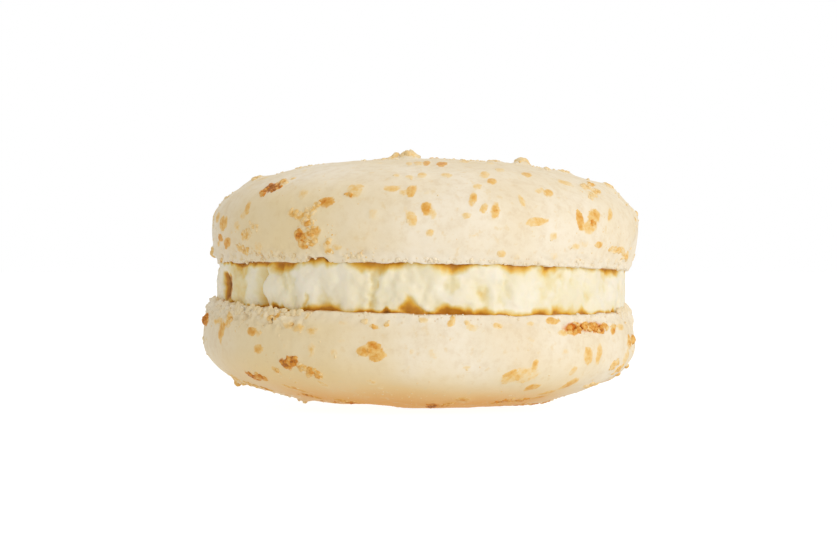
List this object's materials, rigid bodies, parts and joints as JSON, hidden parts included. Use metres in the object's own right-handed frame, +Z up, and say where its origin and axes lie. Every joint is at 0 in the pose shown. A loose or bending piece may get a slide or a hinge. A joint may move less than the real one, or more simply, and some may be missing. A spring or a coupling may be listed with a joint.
{
  "type": "french macaron",
  "caption": "Round sandwich biscuit: domed almond-meringue shells flecked with toasted wafer flakes, round a creased layer of pale buttercream.",
  "frame": {"origin": "on the table, under the middle of the macaron", "axes": "+Z up through the stack, -Y towards the front"},
  "size_m": [0.0487, 0.0482, 0.0273],
  "materials": {
    "shell": "dry baked meringue",
    "filling": "moist buttercream"
  },
  "bodies": {
    "root": {"lower_shell": "shell", "filling": "filling", "upper_shell": "shell"}
  },
  "joints": []
}
